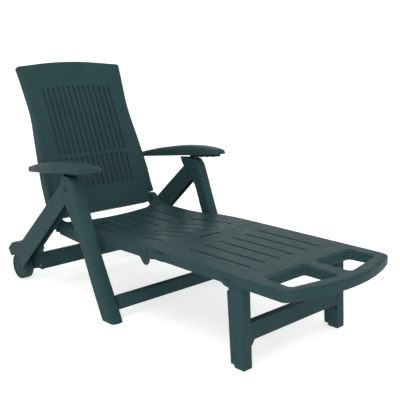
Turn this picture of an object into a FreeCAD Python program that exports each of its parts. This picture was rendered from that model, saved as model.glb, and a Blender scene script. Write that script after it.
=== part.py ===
"""Reclining sun lounger in moulded resin, as a parametric document.

Frame: +Z up, X across, the foot end towards -Y and the back towards +Y, origin on the
ground under the middle of the lounger's box. Left and right are those of the person
lying on it, so left is +X. All sizes are in millimetres.
"""
import FreeCAD, Part
import math
import os

import Sketcher

DIMENSIONS = {
    # panels
    "panel_half": 290.0,
    "sheet": 4.2,
    "skirt_wall": 5.5,
    "deck_top": 327.0,
    "rim_depth": 36.0,
    "slot_width": 7.0,
    "slot_pitch": 74.5,
    "back_slot_pitch": 27.8,
    "back_slot_width": 8.0,
    "back_tilt": 22.3,
    "back_tongue_half": 258.0,
    "back_depth": 48.0,
    # front and rear legs
    "leg_outer": 365.0,
    "leg_inner": 313.0,
    "leg_plate": 5.0,
    "leg_flange": 14.0,
    "rear_outer": 359.6,
    "rear_inner": 318.4,
    "rear_wide_inner": 300.6,
    "bar_wall": 5.0,
    "bar_end": 8.0,
    # wheels
    "wheel_radius": 60.0,
    "wheel_inner": 304.0,
    "wheel_outer": 350.0,
    "axle_radius": 8.0,
    "cheek_inner": 291.0,
    # pins
    "pin_radius": 6.0,
    "pin_play": 0.05,
    "pin_head_radius": 10.0,
    "pin_head": 3.0,
    "peg_radius": 7.0,
    "screw_radius": 2.5,
    # legrest
    "arm_inner": 268.0,
    "arm_outer": 281.0,
    # legrest stand
    "stand_outer": 282.0,
    "stand_inner": 240.0,
    "stand_wall": 5.0,
    # armrests
    "arm_tilt": 7.16,
}

# Hinge points as (Y, Z).
APEX = (313.0, 490.0)
SEAT_PIVOT = (178.0, 266.0)
BACK_HINGE = (548.0, 328.0)
ARM_PIVOT = (618.0, 530.0)
LOCK_PEG = (305.0, 538.0)
LEGREST_HINGE = (-110.0, 300.0)
STAND_PIVOT = (-532.0, 299.0)
SEAT_REST = (502.0, 292.0)
WHEEL_CENTRE = (757.0, 60.0)
FRONT_SCREWS = [(58.5, 47.0), (58.5, 58.5)]
REAR_SCREWS = [(643.0, 80.0), (643.0, 116.0)]

doc = FreeCAD.newDocument("sun_lounger")
sheet = doc.addObject("Spreadsheet::Sheet", "Dims")
for row, (alias, value) in enumerate(DIMENSIONS.items(), start=1):
    sheet.set(f"A{row}", alias)
    sheet.set(f"B{row}", str(value))
    sheet.setAlias(f"B{row}", alias)
doc.recompute()

nodes = []


def dim(alias):
    """Value of a driving dimension, read from the sheet."""
    return float(sheet.get(alias))


# ---------------------------------------------------------------- outlines
def rounded(points):
    """Edges of a closed outline; each point is (u, v) or (u, v, corner radius)."""
    corners = [FreeCAD.Vector(p[0], p[1], 0) for p in points]
    radii = [p[2] if len(p) > 2 else 0.0 for p in points]
    count = len(corners)
    starts, ends, arcs = [], [], []
    for i, corner in enumerate(corners):
        back = (corners[i - 1] - corner).normalize()
        ahead = (corners[(i + 1) % count] - corner).normalize()
        if radii[i] == 0.0:
            starts.append(corner)
            ends.append(corner)
            arcs.append(None)
            continue
        half = back.getAngle(ahead) / 2
        reach = radii[i] / math.tan(half)
        bisector = (back + ahead).normalize()
        centre = corner + bisector * (radii[i] / math.sin(half))
        starts.append(corner + back * reach)
        ends.append(corner + ahead * reach)
        arcs.append(Part.Arc(starts[-1], centre - bisector * radii[i], ends[-1]))
    edges = []
    for i in range(count):
        if arcs[i]:
            edges.append(arcs[i])
        begin, finish = ends[i], starts[(i + 1) % count]
        if begin.distanceToPoint(finish) > 1e-6:
            edges.append(Part.LineSegment(begin, finish))
    return edges


def slot(u, low, high, width):
    """Edges of a round-ended slot that runs along v."""
    r = width / 2
    return rounded([(u - r, low, r * 0.999), (u + r, low, r * 0.999),
                    (u + r, high, r * 0.999), (u - r, high, r * 0.999)])


def circle(centre, radius):
    """Edge of a full circle."""
    return [Part.Circle(FreeCAD.Vector(centre[0], centre[1], 0), FreeCAD.Vector(0, 0, 1), radius)]


def ribbon(line, shift):
    """Closed outline of a strip between an open line and the same line shifted."""
    return line + [(y + shift[0], z + shift[1]) for y, z in line[::-1]]


# ---------------------------------------------------------------- document objects
PLANES = {
    "side": FreeCAD.Rotation(FreeCAD.Vector(0, 1, 0), FreeCAD.Vector(0, 0, 1), FreeCAD.Vector(1, 0, 0)),
    "top": FreeCAD.Rotation(),
}
ROLES = {"side": "YZ_Plane", "top": "XY_Plane"}


def fill_sketch(sketch, loops):
    """Put closed loops into a sketch."""
    for loop in loops:
        for edge in loop:
            sketch.addGeometry(edge, False)


def new_body(label):
    """Empty body that becomes a node of its own."""
    body = doc.addObject("PartDesign::Body", label)
    body.Label = label
    nodes.append(body)
    return body


def body_sketch(body, plane, loops, start):
    """Sketch on one of the body's own origin planes, lifted by the start expression."""
    sketch = body.newObject("Sketcher::SketchObject", body.Label + "_sketch")
    origin_plane = [f for f in body.Origin.OriginFeatures if f.Role == ROLES[plane]][0]
    sketch.AttachmentSupport = [(origin_plane, "")]
    sketch.MapMode = "FlatFace"
    sketch.setExpression("AttachmentOffset.Base.z", start)
    fill_sketch(sketch, loops)
    return sketch


def pad(body, plane, loops, start, length):
    """Pad loops from the start expression over the length expression."""
    feature = body.newObject("PartDesign::Pad", body.Label + "_pad")
    feature.Profile = body_sketch(body, plane, loops, start)
    feature.setExpression("Length", length)
    doc.recompute()
    return feature


def pocket(body, plane, loops, start, length):
    """Pocket loops from the start expression, towards +, over the length expression."""
    before = body.Shape.Volume
    feature = body.newObject("PartDesign::Pocket", body.Label + "_pocket")
    feature.Profile = body_sketch(body, plane, loops, start)
    feature.Reversed = True
    feature.setExpression("Length", length)
    doc.recompute()
    if body.Shape.Volume >= before - 1e-3:
        raise RuntimeError(body.Label + ": a pocket cuts nothing")


def pin_hole(body, centre, radius, start, length):
    """Bore with running play about a pin that lies along X."""
    pocket(body, "side", [circle(centre, dim(radius) + dim("pin_play"))], start, length)


def cross_pin(label, side, centre, radius, inner, outer, heads):
    """Pin along X between two expressions, with heads given as (start, length, radius)."""
    body = new_body(label)
    low, high = (inner, outer) if side > 0 else (f"-({outer})", f"-({inner})")
    pad(body, "side", [circle(centre, dim(radius))], low, f"({high}) - ({low})")
    for start, length, head_radius in heads:
        begin = start if side > 0 else f"-({start}) - ({length})"
        pad(body, "side", [circle(centre, head_radius)], begin, length)


def span(side, inner, outer):
    """Start and length expressions of a slab between two distances from the middle."""
    start = inner if side > 0 else f"-({outer})"
    return start, f"({outer}) - ({inner})"


def between(side, inner, outer):
    """Low and high X of a slab between two distances from the middle."""
    return (str(inner), str(outer)) if side > 0 else (str(-outer), str(-inner))


def box_outline(low_u, low_v, high_u, high_v):
    """Outline of a plain rectangle."""
    return rounded([(low_u, low_v), (high_u, low_v), (high_u, high_v), (low_u, high_v)])


def mirrored(points, side):
    """Plan outline for the left (1) or right (-1) side, kept anticlockwise."""
    return rounded([(side * p[0], p[1], p[2]) for p in points][::side])


def extrusion(label, placement, loops, low, high):
    """Solid slab swept along its sketch's normal from low to high (expressions)."""
    sketch = doc.addObject("Sketcher::SketchObject", label + "_outline")
    sketch.Placement = placement
    fill_sketch(sketch, loops)
    slab = doc.addObject("Part::Extrusion", label + "_slab")
    slab.Base = sketch
    slab.DirMode = "Normal"
    slab.Solid = True
    slab.setExpression("LengthFwd", high)
    slab.setExpression("LengthRev", f"-({low})")
    doc.recompute()
    return slab


def across(label, loops, low, high):
    """Slab of a side outline, swept across the lounger."""
    return extrusion(label, FreeCAD.Placement(FreeCAD.Vector(), PLANES["side"]), loops, low, high)


def upwards(label, loops, low, high):
    """Slab of a plan outline, swept upwards."""
    return extrusion(label, FreeCAD.Placement(), loops, low, high)


def combine(kind, label, shapes):
    """Part::MultiFuse, Part::MultiCommon or Part::Compound of several objects."""
    result = doc.addObject(kind, label)
    if kind == "Part::Compound":
        result.Links = shapes
    else:
        result.Shapes = shapes
    doc.recompute()
    return result


def cut(label, base, tools):
    """Base with every tool taken away."""
    tool = tools[0] if len(tools) == 1 else combine("Part::MultiFuse", label + "_tools", tools)
    result = doc.addObject("Part::Cut", label)
    result.Base = base
    result.Tool = tool
    doc.recompute()
    return result


def finish_node(feature, label):
    """Give the last feature of a sub-part its node name."""
    feature.Label = label
    nodes.append(feature)


SIDES = (("left", 1), ("right", -1))
HALF = "Dims.panel_half"
INSIDE = "Dims.panel_half - Dims.skirt_wall"

# ---------------------------------------------------------------- seat
SEAT_FRONT = -150.0
SEAT_REAR = 492.0
RIM_TOP = [(SEAT_FRONT, 327), (-40, 326), (83, 322), (190, 312), (300, 307), (440, 308)]
DECK_LINE = [(SEAT_FRONT, 327), (-85, 325), (45, 308), (150, 292), (240, 288), (SEAT_REAR, 289)]
EAR_RADIUS = 24.0


def lowered(line, depth):
    """Open line moved down by a depth."""
    return [(y, z - depth) for y, z in line]


def build_seat():
    """Dished deck with side skirts, hinge ears at the rear and pivot lobes at the front."""
    ear_y, ear_z = BACK_HINGE
    hinge_y = LEGREST_HINGE[0]
    silhouette = (
        RIM_TOP
        + [(ear_y - 42, 318, 20), (ear_y - EAR_RADIUS, ear_z + EAR_RADIUS, EAR_RADIUS * 0.99),
           (ear_y + EAR_RADIUS, ear_z + EAR_RADIUS, EAR_RADIUS * 0.99), (ear_y + EAR_RADIUS, 312, 12),
           (515, 258, 8), (414, 251), (331, 247), (166, 246, 20), (100, 266, 40), (40, 281, 20),
           (hinge_y + 30, 282, 10), (hinge_y + 18, 256, 15), (hinge_y - 16, 256, 14),
           (hinge_y - 18, 284, 3), (SEAT_FRONT, 286)]
    )
    rim = across("seat_rim", [rounded(silhouette)], f"-{HALF}", HALF)
    well_half = "Dims.back_tongue_half + 4"
    well_top = [(SEAT_FRONT - 5, 360), (SEAT_REAR + 90, 360), (SEAT_REAR + 90, 289)]
    well = across("seat_well", [rounded(DECK_LINE[::-1] + [(SEAT_FRONT - 5, 327)] + well_top)],
                  f"-({well_half})", well_half)
    under = lowered(DECK_LINE, dim("sheet"))
    hollow_outline = [(SEAT_FRONT - 5, 322)] + under + [(SEAT_REAR, 200), (SEAT_FRONT - 5, 200)]
    hollow = across("seat_hollow", [rounded(hollow_outline)], f"-({INSIDE})", INSIDE)
    rear = across("seat_rear_gap", [box_outline(SEAT_REAR, 200, 620, 400)], f"-({well_half})", well_half)
    shell = cut("seat_shell", rim, [well, hollow, rear])
    ribs = [across(f"seat_rib_{i}", [box_outline(y - 3, top - 22, y + 3, top)],
                   f"-({INSIDE}) - 1", f"({INSIDE}) + 1")
            for i, (y, top) in enumerate(((-60, 321), (195, 287), (460, 286)))]
    tongue = [(-207, 289, 4), (SEAT_FRONT + 4, 289), (SEAT_FRONT + 4, 325), (-207, 325, 5)]
    tongues = [across("seat_tongue_left", [rounded(tongue)], INSIDE, HALF),
               across("seat_tongue_right", [rounded(tongue)], f"-{HALF}", f"-({INSIDE})")]
    solid = combine("Part::MultiFuse", "seat_solid", [shell] + ribs + tongues)
    width, pitch = dim("slot_width"), dim("slot_pitch")
    openings = []
    for i in range(6):
        x = (i - 2.5) * pitch
        bow = 16.0 * (1 - (x / (2.5 * pitch)) ** 2)
        openings.append(slot(x, 222 - bow, 440 - bow, width))
        openings.append(slot(x, -88, 158 - bow, width))
    slots = upwards("seat_slots", openings, "240", "340")
    play = dim("pin_radius") + dim("pin_play")
    holes = across("seat_holes", [circle(p, play) for p in (SEAT_PIVOT, BACK_HINGE, LEGREST_HINGE)],
                   "-400", "400")
    rest_y, rest_z = SEAT_REST
    grip = dim("peg_radius") + 0.6
    mouth = [(rest_y - 26, 235), (rest_y - grip, rest_z), (rest_y - grip, rest_z + grip, grip * 0.99),
             (rest_y + grip, rest_z + grip, grip * 0.99), (rest_y + grip, 235)]
    notch = across("seat_notch", [rounded(mouth)], "-400", "400")
    finish_node(cut("seat_cut", solid, [slots, holes, notch]), "seat_panel")


# ---------------------------------------------------------------- legrest
FOOT_END = -776.0
FOOT_BULGE = 53.0


def build_legrest():
    """Flat slotted deck with a skirt all round and two hand openings at the foot end."""
    body = new_body("legrest_panel")
    half, wall = dim("panel_half"), dim("skirt_wall")
    neck = half - wall - 0.8
    join = SEAT_FRONT - 2
    outline = [(-neck, join), (neck, join), (neck, -209), (half, -209), (half, FOOT_END, 14),
               (0, FOOT_END - 2 * FOOT_BULGE, 700), (-half, FOOT_END, 14), (-half, -209), (-neck, -209)]
    rim = "Dims.rim_depth"
    base = "Dims.deck_top - Dims.rim_depth"
    pad(body, "top", [rounded(outline)], base, rim)
    inner = [(-neck + wall, join + 20), (neck - wall, join + 20), (neck - wall, -216), (half - wall, -216),
             (half - wall, FOOT_END + 8, 10), (0, FOOT_END - 2 * FOOT_BULGE + 12, 690),
             (-half + wall, FOOT_END + 8, 10), (-half + wall, -216), (-neck + wall, -216)]
    pocket(body, "top", [rounded(inner)], base, f"{rim} - Dims.sheet")
    mouths = []
    walls = []
    for side in (-1, 1):
        mouths.append(mirrored([(34, -640, 10), (226, -640, 14), (236, -752, 14), (34, -788, 12)], side))
        walls.append(mirrored([(29, -635, 14), (232, -635, 18), (242, -756, 18), (29, -794, 16)], side))
    pad(body, "top", walls, f"{base} + 8", f"{rim} - 8 - Dims.sheet / 2")
    for rib_x in (-149.0, 0.0, 149.0):
        strip = box_outline(rib_x - 2.5, -637, rib_x + 2.5, join - 8)
        pad(body, "top", [strip], f"{base} + 14", f"{rim} - 14 - Dims.sheet / 2")
    stop_bar = box_outline(-neck + 2, -561, neck - 2, -556)
    pad(body, "top", [stop_bar], f"{base} + 22", f"{rim} - 22 - Dims.sheet / 2")
    hinge_y, hinge_z = LEGREST_HINGE
    ear_y, ear_z = STAND_PIVOT
    arm_low = 291.5
    for _, sign in SIDES:
        arm = [(-240, arm_low), (hinge_y, hinge_z - 15), (hinge_y + 15, hinge_z - 15, 14.9),
               (hinge_y + 15, hinge_z + 15, 14.9), (hinge_y, hinge_z + 15), (-240, hinge_z + 15)]
        pad(body, "side", [rounded(arm)], *span(sign, "Dims.arm_inner", "Dims.arm_outer"))
        block = box_outline(-262, arm_low, -222, 324)
        pad(body, "side", [block], *span(sign, "Dims.arm_inner", "Dims.arm_outer + 3"))
        pin_hole(body, LEGREST_HINGE, "pin_radius", *span(sign, "Dims.arm_inner - 8", "Dims.arm_outer + 1"))
        ear = [(ear_y - 20, 324), (ear_y - 20, ear_z - 18, 18), (ear_y + 20, ear_z - 18, 18),
               (ear_y + 20, 324)]
        pad(body, "side", [rounded(ear)], *span(sign, "Dims.stand_outer + 1.4", HALF))
        pad(body, "side", [rounded(ear)], *span(sign, "Dims.stand_inner - 10", "Dims.stand_inner - 1.4"))
        pin_hole(body, STAND_PIVOT, "pin_radius",
                 *span(sign, "Dims.stand_inner - 15", "Dims.stand_outer + 18"))
    width, pitch = dim("slot_width"), dim("slot_pitch")
    pocket(body, "top", [slot((i - 2.5) * pitch, -543, -237, width) for i in range(6)], "280", "60")
    pocket(body, "top", mouths, "280", "60")


# ---------------------------------------------------------------- legrest stand
def build_stand():
    """Two raked legs and the crossbar between them, moulded in one piece."""
    body = new_body("legrest_stand")
    ear_y, ear_z = STAND_PIVOT
    leg = [(ear_y - 17, ear_z + 17, 16.9), (ear_y + 17, ear_z + 17, 16.9), (ear_y + 17, ear_z - 14, 10),
           (-539, 262), (-560, 0, 3), (-607, 0, 3), (-589, 280, 4), (ear_y - 17, ear_z - 13)]
    for _, sign in SIDES:
        pad(body, "side", [rounded(leg)], *span(sign, "Dims.stand_inner", "Dims.stand_outer"))
        pin_hole(body, STAND_PIVOT, "pin_radius",
                 *span(sign, "Dims.stand_inner - 10", "Dims.stand_outer + 8"))
    bar = [(-600, 97), (-572, 97), (-566, 160), (-594, 160)]
    pad(body, "side", [rounded(bar)], "-Dims.stand_inner - 1", "2 * Dims.stand_inner + 2")
    hollow = [(-600, 8), (-540, 8), (-518, 262), (-582, 262)]
    for _, sign in SIDES:
        pocket(body, "side", [rounded(hollow)],
               *span(sign, "Dims.stand_inner + Dims.stand_wall", "Dims.stand_outer - Dims.stand_wall"))


# ---------------------------------------------------------------- backrest
def build_backrest():
    """Bowed, slotted panel with a flange all round, narrowed between the seat's ears."""
    tilt = dim("back_tilt")
    foot = FreeCAD.Vector(0, 527, 314)
    height, bow, depth = 692.0, 10.0, dim("back_depth")
    wall, skin = dim("skirt_wall"), dim("sheet")
    lean = math.radians(tilt)

    def at_back(along, behind):
        y = foot.y + along * math.sin(lean) + behind * math.cos(lean)
        return (y, foot.z + along * math.cos(lean) - behind * math.sin(lean))

    def strip(front, rear, low, high):
        """Side outline of a bowed strip between two depths behind the front surface."""
        middle = (low + high) / 2
        rise = [-bow * (1 - ((a - height / 2) / (height / 2)) ** 2) for a in (low, middle, high)]
        near = [FreeCAD.Vector(*at_back(a, front + r), 0) for a, r in zip((low, middle, high), rise)]
        far = [FreeCAD.Vector(*at_back(a, rear + r), 0) for a, r in zip((low, middle, high), rise)]
        return [Part.Arc(near[0], near[1], near[2]), Part.LineSegment(near[2], far[2]),
                Part.Arc(far[2], far[1], far[0]), Part.LineSegment(far[0], near[0])]

    tongue = dim("back_tongue_half")
    outline = [(-tongue, 0, 6), (tongue, 0, 6), (tongue, 50), (288, 50, 4), (288, 165, 500),
               (260, 480, 700), (282, 706, 14), (0, 738, 1400), (-282, 706, 14), (-260, 480, 700),
               (-288, 165, 500), (-288, 50, 4), (-tongue, 50)]
    inner = [(-tongue + wall, wall), (tongue - wall, wall), (tongue - wall, 50 + wall),
             (288 - wall, 50 + wall), (288 - wall, 165, 500), (260 - wall, 480, 700),
             (282 - wall, 706 - wall, 9), (0, 738 - wall, 1400), (-282 + wall, 706 - wall, 9),
             (-260 + wall, 480, 700), (-288 + wall, 165, 500), (-288 + wall, 50 + wall),
             (-tongue + wall, 50 + wall)]
    facing = FreeCAD.Rotation(FreeCAD.Vector(1, 0, 0), FreeCAD.Vector(0, math.sin(lean), math.cos(lean)),
                              FreeCAD.Vector(0, -math.cos(lean), math.sin(lean)))
    plane = FreeCAD.Placement(foot, facing)
    slab = across("back_strip", [strip(0, depth, -5, height + 50)], "-300", "300")
    face = extrusion("back_face", plane, [rounded(outline)], "-120", "60")
    block = combine("Part::MultiCommon", "back_block", [slab, face])
    deep = across("back_inner_strip", [strip(skin, depth + 20, -5, height + 50)], "-300", "300")
    inside = extrusion("back_inner_face", plane, [rounded(inner)], "-140", "60")
    hollow = combine("Part::MultiCommon", "back_hollow", [deep, inside])
    shell = cut("back_shell", block, [hollow])
    ribs = []
    for i, along in enumerate((268.0, 640.0)):
        local = box_outline(-262, along - 3, 262, along + 3)
        bar = extrusion(f"back_rib_{i}", plane, [local], "-30", "60")
        band = across(f"back_rib_band_{i}", [strip(1, 22, -5, height + 50)], "-300", "300")
        ribs.append(combine("Part::MultiCommon", f"back_rib_cut_{i}", [bar, band]))
    bosses = []
    for side, sign in SIDES:
        low, high = span(sign, "262", "282")
        bosses.append(across(f"back_boss_{side}", [circle((ARM_PIVOT[0] + 3, ARM_PIVOT[1]), 14)],
                             low, f"({low}) + ({high})"))
    bosses_cut = combine("Part::MultiFuse", "back_bosses", bosses)
    boss_band = across("back_boss_band", [strip(1, depth, -5, height)], "-300", "300")
    bosses_in = combine("Part::MultiCommon", "back_bosses_in", [bosses_cut, boss_band])
    solid = combine("Part::MultiFuse", "back_solid", [shell, bosses_in] + ribs)
    width, pitch = dim("back_slot_width"), dim("back_slot_pitch")
    openings = []
    for i in range(14):
        x = (i - 6.5) * pitch
        crown = 14.0 * (1 - (x / (6.5 * pitch)) ** 2)
        openings.append(slot(x, 116, 260, width))
        openings.append(slot(x, 276, 592 + crown, width))
    slots = extrusion("back_slots", plane, openings, "-25", "60")
    play = dim("pin_radius") + dim("pin_play")
    holes = across("back_holes", [circle(p, play) for p in (BACK_HINGE, ARM_PIVOT)], "-400", "400")
    finish_node(cut("back_cut", solid, [slots, holes]), "backrest_panel")


# ---------------------------------------------------------------- front legs
LEG_FRONT = [(8, 0), (13, 11), (122, 218), (159, 292), (207, 405), (250, 510)]


def build_front_leg(side, sign):
    """Open-backed leg: outer plate, inner plate with a lobe at the apex, and front flange."""
    body = new_body("front_leg_" + side)
    front_edge = [(264, 545, 22), (207, 405), (159, 292), (122, 218), (13, 11)]
    sole = [(8, 0, 2), (77, 0, 2)]
    outer = sole + [(205, 262, 200), (322, 444, 60), (342, 490, 30), (342, 545, 20)] + front_edge
    inner = sole + [(205, 262, 120), (282, 444, 50), (350, 500, 30), (374, 545, 8)] + front_edge
    plate = "Dims.leg_plate"
    pad(body, "side", [rounded(outer)], *span(sign, f"Dims.leg_outer - {plate}", "Dims.leg_outer"))
    pad(body, "side", [rounded(ribbon(LEG_FRONT, (dim("leg_flange"), 0)))],
        *span(sign, "Dims.leg_inner", "Dims.leg_outer"))
    pad(body, "side", [rounded(inner)], *span(sign, "Dims.leg_inner", f"Dims.leg_inner + {plate}"))
    foot = [(8, 0), (77, 0), (81, 8), (12, 8)]
    pad(body, "side", [rounded(foot)], *span(sign, "Dims.leg_inner", "Dims.leg_outer"))
    for centre, radius in ((APEX, "pin_radius"), (LOCK_PEG, "peg_radius")):
        pin_hole(body, centre, radius, *span(sign, "300", "380"))
    pin_hole(body, SEAT_PIVOT, "pin_radius", *span(sign, "300", "330"))
    for centre in FRONT_SCREWS:
        pin_hole(body, centre, "screw_radius", *span(sign, "Dims.leg_inner", f"Dims.leg_inner + {plate}"))


# ---------------------------------------------------------------- rear legs
def build_rear_leg(side, sign):
    """Box leg open underneath, widened at the foot into a hood and an axle cheek."""
    body = new_body("rear_leg_" + side)
    apex_y, apex_z = APEX
    hub_y, hub_z = WHEEL_CENTRE
    web = [(apex_y - 33, apex_z + 33, 32), (apex_y + 27, apex_z + 27), (717, 181, 30), (702, 142),
           (662, 108), (apex_y - 27, apex_z - 27, 30)]
    top = ribbon([(apex_y + 33, apex_z + 21.5), (717, 181)], (-6.6, -7.4))
    plate = "Dims.leg_plate"
    cavity = [(662, 216), (712, 170), (785, 160), (812, 135), (800, 90), (757, 90), (700, 90), (640, 120),
              (622, 160)]
    point = [(640, 130), (662, 108), (692, 80), (713, 50, 4), (724, 66), (745, 112), (756, 150), (717, 181),
             (702, 190)]
    pad(body, "side", [rounded(web)], *span(sign, f"Dims.rear_outer - {plate}", "Dims.rear_outer"))
    pad(body, "side", [rounded(top)], *span(sign, "Dims.rear_inner", "Dims.rear_outer"))
    pad(body, "side", [rounded(web)], *span(sign, "Dims.rear_inner", f"Dims.rear_inner + {plate}"))
    hood = [(640, 246), (717, 181, 30), (790, 172, 60), (832, 134, 3), (806, 108, 2), (757, 129, 50),
            (706, 112, 20), (662, 108), (600, 168)]
    pad(body, "side", [rounded(hood)], *span(sign, "Dims.rear_wide_inner", "Dims.rear_outer"))
    pocket(body, "side", [rounded(cavity)], *span(sign, "Dims.rear_wide_inner + 5", "Dims.rear_outer - 5"))
    pad(body, "side", [rounded(point)], *span(sign, "Dims.rear_outer - 5", "Dims.rear_outer"))
    cheek = [(600, 168), (640, 246), (717, 181, 30), (770, 172, 40), (hub_y + 22, hub_z + 10, 12),
             (hub_y + 20, hub_z - 22, 18), (hub_y - 20, hub_z - 22, 18), (662, 62, 8), (628, 62, 6),
             (612, 130, 10)]
    pad(body, "side", [rounded(cheek)], *span(sign, "Dims.cheek_inner", "Dims.rear_wide_inner"))
    pin_hole(body, APEX, "pin_radius", *span(sign, "300", "380"))
    pin_hole(body, WHEEL_CENTRE, "axle_radius", *span(sign, "280", "303"))
    pin_hole(body, SEAT_REST, "peg_radius", *span(sign, "300", "327"))
    for centre in REAR_SCREWS:
        pin_hole(body, centre, "screw_radius", *span(sign, "Dims.cheek_inner", "Dims.rear_wide_inner"))


# ---------------------------------------------------------------- crossbars
def build_bar(label, front, low, top, end, screws):
    """Channel bar, open underneath, with a closing plate and screw holes at each end."""
    body = new_body(label)
    rear, wall = front + 26, dim("bar_wall")
    section_outer = [(front, low), (rear, low), (rear, top), (front, top)]
    section_inner = [(front + wall, low - 3), (rear - wall, low - 3), (rear - wall, top - wall),
                     (front + wall, top - wall)]
    pad(body, "side", [rounded(section_outer)], f"-({end})", f"2 * ({end})")
    pocket(body, "side", [rounded(section_inner)], f"-({end} - Dims.bar_end)",
           f"2 * ({end} - Dims.bar_end)")
    for _, sign in SIDES:
        for centre in screws:
            pin_hole(body, centre, "screw_radius", *span(sign, f"{end} - Dims.bar_end + 1", end))


def build_screws(label, centres, tip, seat):
    """Screws that hold a crossbar's ends, as one group of separate solids."""
    group = []
    for side, sign in SIDES:
        for index, centre in enumerate(centres):
            pieces = []
            stretches = (("shank", dim("screw_radius"), tip, seat + 0.1),
                         ("head", dim("screw_radius") * 2, seat + 0.1, seat + 2.6))
            for name, radius, low, high in stretches:
                pieces.append(across(f"{label}_{side}_{index}_{name}", [circle(centre, radius)],
                                     *between(sign, low, high)))
            group.append(combine("Part::MultiFuse", f"{label}_{side}_{index}", pieces))
    finish_node(combine("Part::Compound", label + "_group", group), label)


# ---------------------------------------------------------------- wheels
def build_wheel(side, sign):
    """Broad wheel with rounded tread, dished faces and a through bore."""
    body = new_body("wheel_" + side)
    start, length = span(sign, "Dims.wheel_inner", "Dims.wheel_outer")
    tread = pad(body, "side", [circle(WHEEL_CENTRE, dim("wheel_radius"))], start, length)
    rims = [f"Edge{i + 1}" for i, e in enumerate(tread.Shape.Edges) if isinstance(e.Curve, Part.Circle)]
    chamfer = body.newObject("PartDesign::Chamfer", body.Label + "_chamfer")
    chamfer.Base = (tread, rims)
    chamfer.Size = 4
    doc.recompute()
    dish = [circle(WHEEL_CENTRE, 46), circle(WHEEL_CENTRE, 18)]
    outer_start = "Dims.wheel_outer - 12" if sign > 0 else "-Dims.wheel_outer"
    pocket(body, "side", dish, outer_start, "12")
    inner_start = "Dims.wheel_inner" if sign > 0 else "-Dims.wheel_inner - 12"
    pocket(body, "side", dish, inner_start, "12")
    pin_hole(body, WHEEL_CENTRE, "axle_radius", start, length)


# ---------------------------------------------------------------- armrests
def build_armrest(side, sign):
    """Domed pad on a flat base, tapering back to its pivot, with a notched rack underneath."""
    lean = math.radians(dim("arm_tilt"))

    def at_arm(ahead, above):
        y = ARM_PIVOT[0] - ahead * math.cos(lean) + above * math.sin(lean)
        return (y, ARM_PIVOT[1] + ahead * math.sin(lean) + above * math.cos(lean))

    profile = [at_arm(-34, -10) + (6,), at_arm(-34, 12) + (8,), at_arm(60, 24) + (300,),
               at_arm(190, 37) + (400,), at_arm(340, 38) + (400,), at_arm(466, 20) + (60,),
               at_arm(502, -2) + (9,), at_arm(486, -12) + (8,), at_arm(470, -10.6)]
    loaf = across("arm_loaf_" + side, [rounded(profile)], *between(sign, 290, 390))
    tip, front = ARM_PIVOT[0] + 38, 102
    plan = [(299, tip, 6), (331, tip, 6), (352, tip - 90, 120), (378, tip - 270, 300),
            (379, front + 60, 120), (374, front, 34), (304, front, 34), (301, front + 70, 100),
            (301, tip - 270, 300), (299, tip - 90, 120)]
    pillar = upwards("arm_plan_" + side, [mirrored(plan, sign)], "480", "650")
    solid = combine("Part::MultiCommon", "arm_solid_" + side, [loaf, pillar])
    inner_profile = [at_arm(46, -30), at_arm(46, 18), at_arm(190, 32.5), at_arm(340, 33.5),
                     at_arm(458, 16), at_arm(482, -3), at_arm(474, -30)]
    inner_loaf = across("arm_hollow_loaf_" + side, [rounded(inner_profile)], *between(sign, 290, 390))
    inner_plan = [(304, tip - 95, 8), (346, tip - 95, 8), (373, tip - 270, 300), (374, front + 60, 120),
                  (369, front + 6, 28), (309, front + 6, 28), (305, front + 70, 100), (305, tip - 270, 300)]
    inner_pillar = upwards("arm_hollow_plan_" + side, [mirrored(inner_plan, sign)], "480", "650")
    hollow = combine("Part::MultiCommon", "arm_hollow_" + side, [inner_loaf, inner_pillar])
    shell = cut("arm_shell_" + side, solid, [hollow])
    teeth = [at_arm(275, 34.5)]
    positions = 5
    first_notch, notch_pitch = 313.1, 38.0
    for position in range(positions):
        centre = first_notch + position * notch_pitch
        teeth += [at_arm(centre - 14, -23.4), at_arm(centre - 8, -19.6),
                  at_arm(centre + 8, -19.6), at_arm(centre + 14, -23.4)]
    teeth += [at_arm(483, 0), at_arm(474, 12), at_arm(340, 35.5)]
    rack = across("arm_rack_" + side, [rounded(teeth)], *between(sign, 329, 349))
    whole = combine("Part::MultiFuse", "arm_whole_" + side, [shell, rack])
    bore = across("arm_bore_" + side, [circle(ARM_PIVOT, dim("pin_radius") + dim("pin_play"))],
                  *between(sign, 280, 326))
    finish_node(cut("arm_cut_" + side, whole, [bore]), "armrest_" + side)


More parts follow.
